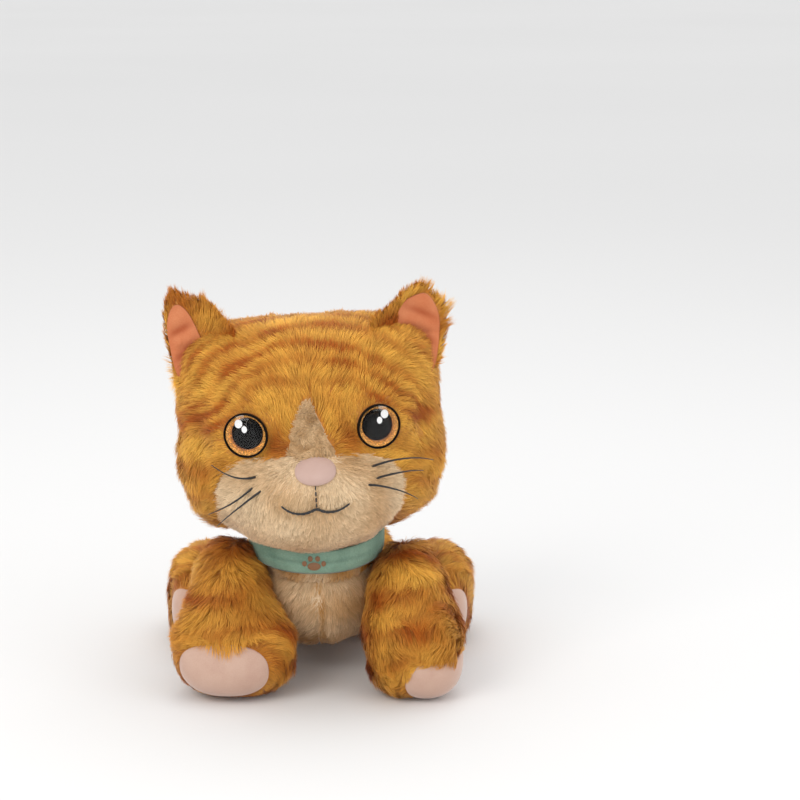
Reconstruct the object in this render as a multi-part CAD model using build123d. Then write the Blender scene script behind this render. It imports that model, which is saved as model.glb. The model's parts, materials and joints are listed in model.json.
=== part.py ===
from build123d import *
import os
from math import cos, radians, sin, sqrt

# A crouching plush cat, in millimetres. +Z is up and the face looks along -Y.
# "left" and "right" are the cat's own, so its left side is towards +X.

# ---- driving dimensions ----
fabric = 3.0            # backing cloth with the root of the pile
stuffing_gap = 0.2      # between the cloth and the stuffing
body_gap = 1.0          # left between pieces that move against each other
leg_gap = 1.5           # the same, at the flat sides where the legs are sewn on
pad_rise = 2.2          # how far a sewn paw pad stands out

chest_centre, chest_semi = (0, 0, 57), (47, 46, 41)
rump_centre, rump_semi = (0, 62, 43), (60, 44, 47)
pellet_centre, pellet_semi = (0, 62, 20), (34, 27, 14)
pellet_cotton = 1.0     # the cotton bag round the pellets
shoulder_plane = 44     # half the width across the flats where the front legs are sewn on
hip_plane = 56          # half the width across the flats where the hind legs are sewn on
bib_half_width = 36
bib_back = 6
bib_rise = 1.6          # how far the chest panel's pile stands above the ginger

neck_pivot = (0, -12, 100)
neck_tilt = 8           # the neck leans forward by this many degrees
neck_radius = 42
neck_ball = 41
neck_length = 22
collar_drop = 13        # from the neck's pivot down to the collar's middle, along the neck
collar_inner, collar_thick, collar_height = 44.0, 2.0, 12.5
fastener_thick = 0.8
fastener_arc = 34       # degrees of the neck that the fastener covers

head_centre = (0, -15, 175)
head_roll, head_yaw = 3.0, 4.5
head_semi, head_round = (84, 60, 71), 58
muzzle_centre, muzzle_semi = (0, -22, -41), (62, 58, 38)   # from the head's centre
bridge_top, bridge_foot, bridge_half, bridge_tip = 27, -12, 16, 3
bridge_rise = 1.4
nose_height, nose_semi = -17, (14, 4.5, 8.8)
mouth_height, mouth_half, mouth_dip = -41, 22, 4
lip_height = -27
thread, thread_rise = 1.4, 0.9
whisker_radius = 0.35
whisker_root = 1.5      # how deep a whisker is sewn into the cloth

eye_side, eye_height = 43, 6
eye_radius, eye_ring, eye_sink = 14.6, 1.1, 2.2
disc_thick, ring_height = 1.2, 2.6
pupil_radius, pupil_thick = 9.8, 0.4
pupil_up, pupil_in = 1.4, 1.4       # the pupil is printed off centre, up and towards the nose
lens_rise = 5.0
glue = 0.05             # left round the lens
stem_radius, stem_length = 2.5, 13
washer_radius, washer_thick, washer_depth = 9.0, 1.4, 6.0
running = 0.1           # clearance round a stem

ear_place = 47          # degrees from the top of the head round to the foot of the ear
ear_up, ear_width = 40, 42
ear_lean, ear_turn = 36, 27
ear_fur, ear_lining = 6.0, 2.0
ear_gap = 2.5

tail_radius, tail_bend, tail_sweep = 12.5, 36, 100
tail_end_radius = 12.7


def ellipsoid(centre, semi, grow=0.0):
    """A rounded form: its centre, its three half-sizes, and how much bigger it is made all round."""
    body = scale(Sphere(1), by=tuple(s + grow for s in semi))
    return Pos(*centre) * body


def rounded_box(semi, radius, grow=0.0):
    """A box with every edge rounded: its half-sizes, its edge radius, and how much it is grown."""
    block = Box(*(2 * (s + grow) for s in semi))
    return fillet(block.edges(), radius + grow)


def slab(low, high):
    """A box from its lowest to its highest corner."""
    size = [h - l for l, h in zip(low, high)]
    middle = [(h + l) / 2 for l, h in zip(low, high)]
    return Pos(*middle) * Box(*size)


BIG = 400
above_floor = slab((-BIG, -BIG, 0), (BIG, BIG, BIG))
inner = -(fabric + stuffing_gap)

parts = {}

# ---- neck: a short barrel with a ball on top, round an axis that leans forward ----
neck_frame = Pos(*neck_pivot) * Rot(neck_tilt, 0, 0)


def neck_form(grow):
    """The neck's barrel and ball, grown or shrunk all round except at the foot."""
    barrel = Pos(0, 0, -neck_length) * Cylinder(
        neck_radius + grow, neck_length, align=(Align.CENTER, Align.CENTER, Align.MIN)
    )
    ball = Sphere(neck_ball + grow) & slab((-BIG, -BIG, 0), (BIG, BIG, BIG))
    return barrel + ball


neck_inside = slab((-BIG, -BIG, fabric - stuffing_gap - neck_length), (BIG, BIG, BIG))
neck_filled = slab((-BIG, -BIG, fabric - neck_length), (BIG, BIG, BIG))
parts["neck_skin"] = neck_frame * (neck_form(0) - (neck_form(-fabric) & neck_inside))
parts["neck_stuffing"] = neck_frame * (neck_form(inner) & neck_filled)

# ---- torso: chest and rump lobes, flat where the legs, the neck and the floor meet it ----
under_neck = neck_frame * slab((-BIG, -BIG, -BIG), (BIG, BIG, -neck_length - body_gap))


def torso_form(grow):
    """The torso's two lobes, cut flat by the planes where the other parts are sewn on."""
    chest = ellipsoid(chest_centre, chest_semi, grow)
    chest &= slab((-shoulder_plane - grow, -BIG, -BIG), (shoulder_plane + grow, BIG, BIG))
    rump = ellipsoid(rump_centre, rump_semi, grow)
    rump &= slab((-hip_plane - grow, -BIG, -grow), (hip_plane + grow, BIG, BIG))
    top = neck_frame * slab((-BIG, -BIG, -BIG), (BIG, BIG, grow - neck_length - body_gap))
    return (chest + rump) & top


def pellet_form(grow):
    """The pellet bag in the seat, grown or shrunk all round."""
    return ellipsoid(pellet_centre, pellet_semi, grow)


torso_outer = torso_form(0)
parts["torso_skin"] = torso_outer - torso_form(-fabric)
parts["torso_stuffing"] = torso_form(inner) - pellet_form(stuffing_gap)
parts["seat_pellet_bag"] = pellet_form(0) - pellet_form(-pellet_cotton)
parts["seat_pellets"] = pellet_form(-pellet_cotton - stuffing_gap)
bib = ellipsoid(chest_centre, chest_semi, bib_rise) - torso_outer
bib &= slab((-bib_half_width, -BIG, 0), (bib_half_width, bib_back, BIG))
parts["chest_panel"] = bib & under_neck

# ---- head: built upright about its own centre, then set at its tilt and turn ----
pivot_shift = tuple(h - p for h, p in zip(head_centre, neck_pivot))
head_frame = Pos(*neck_pivot) * Rot(0, -head_roll, 0) * Rot(0, 0, head_yaw) * Pos(*pivot_shift)
socket = head_frame.inverse() * neck_frame * Sphere(neck_ball + body_gap)
neck_way = head_frame.inverse() * neck_frame * Pos(0, 0, -BIG / 2) * Cylinder(neck_ball + body_gap, BIG)

head_outer = rounded_box(head_semi, head_round)
head_hollow = rounded_box(head_semi, head_round, -fabric)
head_inside = rounded_box(head_semi, head_round, inner)
muzzle_outer = ellipsoid(muzzle_centre, muzzle_semi)
muzzle_hollow = ellipsoid(muzzle_centre, muzzle_semi, -fabric)
muzzle_inside = ellipsoid(muzzle_centre, muzzle_semi, inner)

head_skin = head_outer - head_hollow - muzzle_hollow - socket - neck_way
muzzle = muzzle_outer - muzzle_hollow - head_outer - socket - neck_way
head_stuffing = (head_inside + muzzle_inside) - socket - neck_way

# the short-pile bridge above the nose
bridge_outline = Plane.XZ * make_face(
    Polyline((-bridge_half, bridge_foot), (bridge_half, bridge_foot), (bridge_tip, bridge_top),
             (-bridge_tip, bridge_top), close=True)
)
bridge = extrude(bridge_outline, BIG / 2) & rounded_box(head_semi, head_round, bridge_rise)
bridge = bridge - head_outer - muzzle_outer


def on_muzzle(x, z):
    """The depth of the muzzle's front at a side and a height from the head's centre."""
    across = (x - muzzle_centre[0]) / muzzle_semi[0]
    up = (z - muzzle_centre[2]) / muzzle_semi[2]
    return muzzle_centre[1] - muzzle_semi[1] * sqrt(1 - across ** 2 - up ** 2)


corner = [s - head_round for s in head_semi]      # the middle of the head's corner rounding


def on_head(x):
    """The depth of the head's front at a side, where it is rounded only from side to side."""
    return -corner[1] - sqrt(head_round ** 2 - (abs(x) - corner[0]) ** 2)


nose = ellipsoid((0, on_muzzle(0, nose_height), nose_height), nose_semi)
nose = nose - muzzle_outer - head_outer - bridge

lips = [ThreePointArc((0, mouth_height + 2), (s * mouth_half * 0.45, mouth_height - mouth_dip * 0.6),
                      (s * mouth_half, mouth_height + 4)) for s in (-1, 1)]
philtrum = Line((0, mouth_height + 2), (0, lip_height))
stitching = extrude(Plane.XZ * trace(lips + [philtrum], thread), BIG / 2)
mouth = (stitching & ellipsoid(muzzle_centre, muzzle_semi, thread_rise)) - muzzle_outer


def whisker(side, row):
    """One bristle, from inside the muzzle cloth out to its free end."""
    rise = (9, -1, -9)[row]
    droop = (-4, 0, 5)[row]
    root_x, root_z = 38 + 2 * row, -16 - 7 * row
    start = (side * root_x, min(on_muzzle(root_x, root_z), on_head(root_x)) + whisker_root, root_z)
    end = (side * (root_x + 33), start[1] + 6, root_z + rise)
    middle = tuple((a + b) / 2 for a, b in zip(start, end))
    path = ThreePointArc(start, (middle[0], middle[1] - 4, middle[2] + droop), end)
    return sweep(Plane(path @ 0, z_dir=path % 0) * Circle(whisker_radius), path)


head = {
    "head_stuffing": head_stuffing,
    "muzzle_panel": muzzle,
    "nose_bridge_panel": bridge,
    "nose": nose,
    "mouth_stitching": mouth,
    "whiskers_left": Compound(children=[whisker(1, row) for row in range(3)]),
    "whiskers_right": Compound(children=[whisker(-1, row) for row in range(3)]),
}

# ---- eyes: a printed disc with a clear dome, on a ribbed stem held by a washer inside the head ----
for name, side in (("left", 1), ("right", -1)):
    spot = Vector(side * eye_side, on_head(eye_side), eye_height)
    outward = Vector(side * (eye_side - corner[0]), on_head(eye_side) + corner[1], 0)
    seat = Plane(spot, x_dir=(0, 0, 1), z_dir=outward).offset(-eye_sink)
    base = (Align.CENTER, Align.CENTER, Align.MIN)
    top = (Align.CENTER, Align.CENTER, Align.MAX)
    disc_radius = eye_radius - eye_ring
    disc = Cylinder(disc_radius, disc_thick, align=base)
    stem = Cylinder(stem_radius, stem_length, align=top)
    ring = Cylinder(eye_radius, ring_height, align=base)
    ring -= Cylinder(disc_radius + glue, ring_height, align=base)
    pupil = Pos(pupil_up, side * pupil_in, disc_thick) * Cylinder(pupil_radius, pupil_thick, align=base)
    dome_radius = (disc_radius ** 2 + lens_rise ** 2) / (2 * lens_rise)
    dome = Pos(0, 0, disc_thick + glue + lens_rise - dome_radius) * Sphere(dome_radius)
    dome &= Pos(0, 0, disc_thick + glue) * Cylinder(disc_radius, 2 * lens_rise, align=base)
    washer = Cylinder(washer_radius, washer_thick, align=top) - Cylinder(stem_radius, washer_thick, align=top)
    washer = Pos(0, 0, -washer_depth) * washer
    pocket = Cylinder(eye_radius + running, 3 * lens_rise, align=base)
    way = Cylinder(stem_radius + running, stem_length + 1, align=top)
    way += Pos(0, 0, running - washer_depth) * Cylinder(washer_radius + running, washer_thick + 2 * running,
                                                        align=top)
    head_skin = head_skin - seat * (pocket + way)
    head["head_stuffing"] = head["head_stuffing"] - seat * (pocket + way)
    head[f"eye_{name}_backing"] = seat * (disc + stem)
    head[f"eye_{name}_outline"] = seat * ring
    head[f"eye_{name}_pupil"] = seat * pupil
    head[f"eye_{name}_lens"] = seat * (dome - pupil)
    head[f"eye_{name}_washer"] = seat * washer
    head["muzzle_panel"] = head["muzzle_panel"] - seat * pocket

head["head_skin"] = head_skin


# ---- ears: a furry back and a velour lining, on a hinge line along the foot ----
def ear_outline(shrink):
    """A rounded triangle standing on its foot, drawn in by a margin."""
    half, tall = ear_width / 2 - shrink, ear_up - 1.6 * shrink
    foot = 0.5 * shrink
    sides = [
        Line((-half, foot), (half, foot)),
        ThreePointArc((half, foot), (half * 0.82, foot + tall * 0.52), (4, tall)),
        ThreePointArc((4, tall), (0, tall + 1.6), (-4, tall)),
        ThreePointArc((-4, tall), (-half * 0.82, foot + tall * 0.52), (-half, foot)),
    ]
    return make_face(sides)


ear_reach = head_round + ear_gap
ear_base = (corner[0] + ear_reach * sin(radians(ear_place)), 0,
            corner[2] + ear_reach * cos(radians(ear_place)))
for name, side in (("left", 1), ("right", -1)):
    stand = Pos(side * ear_base[0], ear_base[1], ear_base[2]) * Rot(0, side * ear_lean, 0)
    stand = stand * Rot(0, 0, side * ear_turn) * Rot(90, 0, 0)
    back = Pos(0, 0, -ear_fur / 2) * extrude(ear_outline(0), ear_fur)
    lining = Pos(0, 0, ear_fur / 2) * extrude(ear_outline(4), ear_lining)
    head[f"ear_{name}_fur"] = stand * back
    head[f"ear_{name}_lining"] = stand * lining

for name, piece in head.items():
    parts[name] = head_frame * piece

# ---- collar: a band round the neck, closed at the nape by a hook-and-loop fastener ----
collar_frame = neck_frame * Pos(0, 0, -collar_drop - collar_height / 2)


def band(radius, thick, height, start, stop):
    """A stretch of band between two angles; an angle of 270 degrees is at the throat."""
    ring = Cylinder(radius + thick, height, align=(Align.CENTER, Align.CENTER, Align.MIN))
    ring -= Cylinder(radius, height, align=(Align.CENTER, Align.CENTER, Align.MIN))
    wedge = make_face(Polyline((0, 0), *[
        (2 * radius * cos(radians(a)), 2 * radius * sin(radians(a)))
        for a in [start + (stop - start) * k / 8 for k in range(9)]
    ], close=True))
    return ring & extrude(wedge, height)


nape = 90
step_arc = 3            # degrees over which the flap steps up on to the fastener
margin = 1.5            # from the strap's edge to the fastener's
motif_rise = 0.7
lap = collar_inner + collar_thick + 2 * fastener_thick
strap = Cylinder(collar_inner + collar_thick, collar_height, align=(Align.CENTER, Align.CENTER, Align.MIN))
strap -= Cylinder(collar_inner, collar_height, align=(Align.CENTER, Align.CENTER, Align.MIN))
flap = band(lap, collar_thick, collar_height, nape - fastener_arc / 2, nape + fastener_arc / 2)
step = band(collar_inner + collar_thick / 2, lap - collar_inner, collar_height,
            nape + fastener_arc / 2, nape + fastener_arc / 2 + step_arc)
patch_start, patch_stop = nape - fastener_arc / 2 + 1, nape + fastener_arc / 2 - 1
loops = Pos(0, 0, margin) * band(collar_inner + collar_thick, fastener_thick, collar_height - 2 * margin,
                                 patch_start, patch_stop)
hooks = Pos(0, 0, margin) * band(collar_inner + collar_thick + fastener_thick, fastener_thick,
                                 collar_height - 2 * margin, patch_start, patch_stop)
toes = [(-5.6, 1.6), (-2.1, 4.9), (2.1, 4.9), (5.6, 1.6)]
paw_print = Ellipse(3.9, 2.6) + [Pos(x, y) * Ellipse(1.4, 1.8) for x, y in toes]
paw_print = extrude(Pos(0, 0, collar_height / 2 - 2) * Plane.XZ * paw_print, BIG / 2)
paw_print &= (Cylinder(collar_inner + collar_thick + motif_rise, BIG)
              - Cylinder(collar_inner + collar_thick, BIG))
parts["collar_band"] = collar_frame * (strap + flap + step)
parts["collar_loop_patch"] = collar_frame * loops
parts["collar_hook_patch"] = collar_frame * hooks
parts["collar_paw_motif"] = collar_frame * paw_print


# ---- legs: an upper lobe and a paw lobe in one skin, with a velour pad on the sole ----
def leg(name, upper, paw, pad):
    """upper and paw are (centre, half-sizes, edge radius); pad is (turn, dip, half-width, half-height)."""
    turn, dip, pad_half, pad_tall = pad
    (upper_centre, *upper_size), (paw_centre, *paw_size) = upper, paw

    def form(grow):
        thigh_lobe = Pos(*upper_centre) * rounded_box(*upper_size, grow)
        return thigh_lobe + Pos(*paw_centre) * rounded_box(*paw_size, grow)

    outer = form(0)
    aim = Pos(*paw_centre) * Rot(0, 0, turn) * Rot(90 + dip, 0, 0)
    column = aim * extrude(Ellipse(pad_half, pad_tall), BIG / 3)
    sole = (Pos(*paw_centre) * rounded_box(*paw_size, pad_rise)) & column & above_floor
    parts[f"{name}_skin"] = outer - form(-fabric)
    parts[f"{name}_stuffing"] = form(inner)
    parts[f"{name}_pad"] = sole - outer


thigh = 22                                        # half the thickness of a leg's upper lobe
shoulder_side = shoulder_plane + leg_gap + thigh
hip_side = hip_plane + leg_gap + thigh
shoulder_size = ((thigh, 34, 34), 21)
leg("front_leg_right", ((-shoulder_side, -30, 52), *shoulder_size), ((-54, -66, 33), (41, 31, 33), 29),
    (-6, 8, 29, 19))
leg("front_leg_left", ((shoulder_side, -30, 52), *shoulder_size), ((67, -64, 32), (33, 32, 32), 29),
    (42, 8, 26, 22))
for name, side in (("left", 1), ("right", -1)):
    leg(f"hind_leg_{name}", ((side * hip_side, 68, 31), (thigh, 34, 31), 21),
        ((side * hip_side, 36.5, 27), (thigh, 27, 27), 21), (side * 22, 0, 17, 18))

# ---- tail: a stuffed tube that lies on the floor and curls behind the rump ----
tail_root = (0, 111.5, tail_end_radius)
tail_curve = CenterArc((tail_bend, tail_root[1], 0), tail_bend, 180 - tail_sweep, tail_sweep)


def tail_form(grow):
    """The bent tube with its rounded tip and root."""
    tube = sweep(Plane(tail_curve @ 0, z_dir=tail_curve % 0) * Circle(tail_radius + grow), tail_curve)
    ends = [Pos(*(tail_curve @ t)) * Sphere(tail_end_radius + grow) for t in (0, 1)]
    return Pos(0, 0, tail_end_radius) * (tube + ends)


parts["tail_skin"] = tail_form(0) - tail_form(-fabric)
parts["tail_stuffing"] = tail_form(inner)

# ---- the origin is under the middle of the whole cat, on the floor ----
box = Compound(children=[Compound(p.wrapped) for p in parts.values()]).bounding_box()
shift = (-(box.min.X + box.max.X) / 2, -(box.min.Y + box.max.Y) / 2, 0)
print("moved by", [round(s, 3) for s in shift], "floor", round(box.min.Z, 3))

os.makedirs("parts", exist_ok=True)
for name, piece in parts.items():
    export_step(Pos(*shift) * piece, os.path.join("parts", f"{name}.step"))
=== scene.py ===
import json
import math

import bmesh
import bpy
import numpy as np
from mathutils import Matrix, Vector, kdtree


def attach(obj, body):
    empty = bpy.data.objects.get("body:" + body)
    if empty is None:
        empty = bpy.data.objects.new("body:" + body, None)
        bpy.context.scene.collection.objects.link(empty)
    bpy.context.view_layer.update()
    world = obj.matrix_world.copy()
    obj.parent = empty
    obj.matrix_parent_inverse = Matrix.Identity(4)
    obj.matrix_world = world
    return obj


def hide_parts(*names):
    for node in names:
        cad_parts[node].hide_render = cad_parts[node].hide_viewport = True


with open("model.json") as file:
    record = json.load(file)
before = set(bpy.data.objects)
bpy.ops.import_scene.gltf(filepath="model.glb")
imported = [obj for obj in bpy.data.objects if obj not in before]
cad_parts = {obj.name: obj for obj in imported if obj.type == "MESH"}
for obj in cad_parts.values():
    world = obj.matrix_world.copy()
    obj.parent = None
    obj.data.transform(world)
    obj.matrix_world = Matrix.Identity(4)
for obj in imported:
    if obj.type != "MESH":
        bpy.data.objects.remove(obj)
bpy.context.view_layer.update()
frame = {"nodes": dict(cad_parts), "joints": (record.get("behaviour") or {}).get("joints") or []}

# Lengths below are millimetres in the cat's own frame, which is the CAD frame before its origin was moved
# under the middle of the box. The two frames are tied together at the neck's pivot.
NECK_PIVOT = np.array([0.0, -12.0, 100.0])
NECK_TILT = 8.0
SHIFT = next(np.array(j["pos_m"]) * 1000 for j in frame["joints"] if j["name"] == "neck_turn") - NECK_PIVOT


# ---------------------------------------------------------------- small helpers
def rotation(axis, degrees):
    return np.array(Matrix.Rotation(math.radians(degrees), 4, axis))


def move(x, y, z):
    matrix = np.eye(4)
    matrix[:3, 3] = (x, y, z)
    return matrix


def place(matrix, points):
    return points @ matrix[:3, :3].T + matrix[:3, 3]


def turn(matrix, vectors):
    return vectors @ matrix[:3, :3].T


def unit(vectors):
    return vectors / np.maximum(np.linalg.norm(vectors, axis=-1, keepdims=True), 1e-9)


def smooth(low, high, value):
    t = np.clip((value - low) / (high - low), 0, 1)
    return t * t * (3 - 2 * t)


def hump(value, centre, width):
    return np.exp(-(((value - centre) / width) ** 2))


def srgb(red, green, blue):
    channel = lambda c: c / 12.92 if c <= 0.04045 else ((c + 0.055) / 1.055) ** 2.4
    return tuple(channel(c / 255) for c in (red, green, blue)) + (1.0,)


def waves(points, size, seed):
    """Smooth noise of about unit strength, whose features are about this size."""
    rng = np.random.default_rng(seed)
    directions = unit(rng.normal(size=(7, 3))) * rng.uniform(0.7, 1.6, (7, 1)) / size * 2.2
    return np.sin(points @ directions.T + rng.uniform(0, 6.28, 7)).sum(1) / math.sqrt(3.5)


NECK = move(*NECK_PIVOT) @ rotation("X", NECK_TILT)
TO_NECK = np.linalg.inv(NECK)


# ---------------------------------------------------------------- rounded forms
def lobe(points, centre, semi, power=2.0):
    """A rounded block's form, below 0 inside: a power of 2 is an ellipsoid, and more is squarer."""
    q = np.abs(points - np.array(centre, float)) / np.array(semi, float)
    return ((q ** power).sum(1) ** (1 / power) - 1) * min(semi)


def merged(a, b, width):
    """The two forms as one, with a fillet of about this width."""
    h = np.clip(0.5 + 0.5 * (b - a) / width, 0, 1)
    return b * (1 - h) + a * h - width * h * (1 - h)


def ball_directions(level):
    ball = bmesh.new()
    bmesh.ops.create_icosphere(ball, subdivisions=level, radius=1)
    points = np.array([v.co[:] for v in ball.verts])
    faces = np.array([[v.index for v in f.verts] for f in ball.faces])
    ball.free()
    return points, faces


def form_mesh(form, centre, level):
    """The surface of a form, found along rays from a point inside it."""
    directions, faces = ball_directions(level)
    low, high = np.zeros(len(directions)), np.full(len(directions), 200.0)
    for _ in range(26):
        middle = (low + high) / 2
        inside = form(np.array(centre, float) + directions * middle[:, None]) < 0
        low, high = np.where(inside, middle, low), np.where(inside, high, middle)
    return np.array(centre, float) + directions * low[:, None], faces


def normals_of(points, faces):
    a, b, c = (points[faces[:, k]] for k in range(3))
    face_normals = np.cross(b - a, c - a)
    out = np.zeros_like(points)
    for k in range(3):
        np.add.at(out, faces[:, k], face_normals)
    return unit(out)


# ---------------------------------------------------------------- pieces
def add_piece(name, points, faces, body, slot, materials, replaced=(), fill=None, shade_smooth=True,
              attributes=None):
    """A mesh in metres from points in the cat's frame; faces is an array or a list of loops.

    The fill is not used.
    """
    mesh = bpy.data.meshes.new(name)
    world = (points + SHIFT) / 1000
    if isinstance(faces, np.ndarray):
        width = faces.shape[1]
        mesh.vertices.add(len(world))
        mesh.vertices.foreach_set("co", world.astype(np.float32).ravel())
        mesh.loops.add(faces.size)
        mesh.loops.foreach_set("vertex_index", faces.astype(np.int32).ravel())
        mesh.polygons.add(len(faces))
        mesh.polygons.foreach_set("loop_start", np.arange(len(faces), dtype=np.int32) * width)
        mesh.update(calc_edges=True)
    else:
        mesh.from_pydata(world.tolist(), [], faces)
    if shade_smooth:
        mesh.shade_smooth()
    for key, values in (attributes or {}).items():
        layer = mesh.attributes.new(key, "FLOAT", "POINT")
        layer.data.foreach_set("value", values.astype(np.float32))
    piece = bpy.data.objects.new(name, mesh)
    bpy.context.collection.objects.link(piece)
    for material in materials:
        mesh.materials.append(material)
    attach(piece, body)
    if replaced:
        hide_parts(*replaced)
    return piece


def part_of(points, faces, chosen):
    """The faces whose flag is set, with only the points they use."""
    faces = faces[chosen]
    used, index = np.unique(faces, return_inverse=True)
    return points[used], index.reshape(faces.shape)


# ---------------------------------------------------------------- materials
class Look:
    """A new material with short ways to build its nodes. A value is a number, a colour or a node's output."""

    def __init__(self, name):
        self.material = bpy.data.materials.new(name)
        self.material.use_nodes = True
        self.tree = self.material.node_tree
        self.shader = self.tree.nodes["Principled BSDF"]

    def feed(self, socket, value):
        if isinstance(value, bpy.types.NodeSocket):
            self.tree.links.new(value, socket)
        else:
            socket.default_value = value

    def node(self, kind, **inputs):
        made = self.tree.nodes.new("ShaderNode" + kind)
        for name, value in inputs.items():
            self.feed(made.inputs[name], value)
        return made

    def object_place(self):
        return self.node("TexCoord").outputs["Object"]

    def attribute(self, name):
        made = self.node("Attribute")
        made.attribute_name = name
        return made.outputs["Fac"]

    def ramp(self, value, *stops):
        made = self.node("ValToRGB")
        self.feed(made.inputs[0], value)
        elements = made.color_ramp.elements
        while len(elements) < len(stops):
            elements.new(0.5)
        for element, (position, colour) in zip(elements, stops):
            element.position = position
            element.color = colour
        return made.outputs[0]

    def math(self, operation, a, b):
        made = self.node("Math")
        made.operation = operation
        self.feed(made.inputs[0], a)
        self.feed(made.inputs[1], b)
        return made.outputs[0]

    def mix(self, factor, a, b, mode="MULTIPLY"):
        made = self.node("Mix")
        made.data_type = "RGBA"
        made.blend_type = mode
        for index, value in ((0, factor), (6, a), (7, b)):
            self.feed(made.inputs[index], value)
        return made.outputs[2]

    def bump(self, height, strength, distance):
        return self.node("Bump", Strength=strength, Distance=distance, Height=height).outputs[0]

    def finish(self, **inputs):
        """Sets the shader's inputs, named with underscores for their spaces, and gives the material."""
        for name, value in inputs.items():
            self.feed(self.shader.inputs[name.replace("_", " ")], value)
        return self.material


def grey(value):
    return (value, value, value, 1)


def fur_material(name, light, dark, root, sheen=0.25):
    """Pile: its tone runs from light to dark, with painted shade dark at its root and lighter at its tip, and
    each strand differs a little.
    """
    look = Look(name)
    tone = look.ramp(look.attribute("tone"), (0.0, light), (1.0, dark))
    # painted shade along each strand: darkest at its root, lighter at its tip
    shade = look.ramp(look.attribute("tip"), (0.0, root), (0.45, (0.86, 0.80, 0.74, 1)),
                      (1.0, (1.12, 1.10, 1.08, 1)))
    vary = look.ramp(look.attribute("vary"), (0.0, (0.74, 0.70, 0.64, 1)), (1.0, grey(1.16)))
    return look.finish(Base_Color=look.mix(1.0, look.mix(1.0, tone, shade), vary), Roughness=0.62,
                       Specular_IOR_Level=0.25, Sheen_Weight=sheen, Sheen_Roughness=0.5)


def cloth_material(name, light, dark, size, bump=0.25, roughness=0.85, sheen=0.4, painted_shade_colour=None):
    """Woven or napped cloth: two shades in fine and broad noise, with a bump of its nap.

    Where the mesh asks for it by an attribute, a darker colour is mixed in: painted shade for the creases.
    """
    look = Look(name)
    spot = look.object_place()
    broad = look.node("TexNoise", Scale=60, Vector=spot).outputs[0]
    fine = look.node("TexNoise", Scale=1000 / size, Detail=6, Vector=spot).outputs[0]
    both = look.math("ADD", look.math("MULTIPLY", broad, 0.5), look.math("MULTIPLY", fine, 0.5))
    colour = look.ramp(both, (0.32, dark), (0.68, light))
    # painted shade: a darker colour mixed in where the mesh's attribute asks, for the shade in creases
    if painted_shade_colour:
        colour = look.mix(look.attribute("painted_shade"), colour, painted_shade_colour, "MIX")
    return look.finish(Base_Color=colour, Normal=look.bump(fine, bump, 0.0006), Roughness=roughness,
                       Sheen_Weight=sheen, Sheen_Roughness=0.4)


# painted shade at the root of every strand, multiplied into the pile's colour
GINGER_ROOT_SHADE = (0.66, 0.46, 0.22, 1)
CREAM_ROOT_SHADE = (0.74, 0.66, 0.58, 1)

ginger_fur = fur_material("ginger_fur", srgb(254, 200, 84), srgb(184, 94, 3), GINGER_ROOT_SHADE, 0.08)
cream_fur = fur_material("cream_fur", srgb(252, 230, 194), srgb(208, 158, 92), CREAM_ROOT_SHADE)
bridge_fur = fur_material("bridge_fur", srgb(232, 200, 156), srgb(196, 156, 108), CREAM_ROOT_SHADE)
# The cloth under the pile has its own colour, made darker than the pile as painted shade between the strands.
ginger_cloth = cloth_material("ginger_cloth", srgb(206, 140, 66), srgb(170, 104, 38), 1.2)
cream_cloth = cloth_material("cream_cloth", srgb(226, 200, 166), srgb(204, 174, 136), 1.2)
pink_velour = cloth_material("pink_velour", srgb(203, 171, 153), srgb(187, 150, 132), 0.5, 0.2, 0.85, 0.5)
# its last colour is painted shade for the lining's creases
ear_velour = cloth_material("ear_velour", srgb(208, 132, 88), srgb(188, 100, 56), 0.5, 0.2, 0.85, 0.45,
                            painted_shade_colour=srgb(158, 66, 22))
teal_suede = cloth_material("teal_suede", srgb(138, 168, 148), srgb(96, 130, 112), 0.7, 0.5, 0.9, 0.3)
stuffing_fibre = cloth_material("stuffing_fibre", srgb(246, 246, 244), srgb(226, 226, 222), 1.5, 0.8, 0.95,
                                0.2)
cotton_weave = cloth_material("cotton_weave", srgb(232, 226, 210), srgb(212, 204, 186), 0.8, 0.5, 0.9, 0.1)
hook_tape = cloth_material("hook_tape", srgb(128, 166, 146), srgb(84, 120, 104), 0.3, 0.9, 0.8, 0.1)
pellet_plastic = cloth_material("pellet_plastic", srgb(240, 240, 236), srgb(190, 190, 186), 2.5, 1.0, 0.4,
                                0.0)
washer_plastic = cloth_material("washer_plastic", srgb(232, 232, 228), srgb(222, 222, 218), 0.8, 0.1, 0.45,
                                0.0)


def thread_material(name, colour, darker, spacing):
    """Laid thread: fine ridges side by side, each rounded, with a satin gloss; its colour is darker in the
    grooves between them, a painted shade.
    """
    look = Look(name)
    ridges = look.node("TexWave", Scale=314 / spacing, Distortion=0.6, Detail=1, Vector=look.object_place())
    ridges.bands_direction = "X"
    laid = ridges.outputs["Fac"]
    # painted shade: the colour darkens in the grooves between the threads
    return look.finish(Base_Color=look.ramp(laid, (0.0, darker), (0.6, colour)),
                       Normal=look.bump(laid, 0.35, 0.0004), Roughness=0.42, Sheen_Weight=0.2)


# the second colour of each thread is painted shade for its grooves
nose_satin = thread_material("nose_satin", srgb(206, 176, 164), srgb(160, 122, 110), 0.6)
black_thread = thread_material("black_thread", srgb(24, 22, 22), srgb(10, 9, 9), 0.5)
brown_thread = thread_material("brown_thread", srgb(150, 104, 66), srgb(104, 70, 46), 0.5)


def printed(name, value, roughness):
    """Black or white print: nearly even, with a fine speckle."""
    look = Look(name)
    speckle = look.node("TexNoise", Scale=900).outputs[0]
    return look.finish(Base_Color=look.ramp(speckle, (0.35, grey(0.8 * value)), (0.65, grey(value))),
                       Roughness=roughness, Specular_IOR_Level=0.05)


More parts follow.
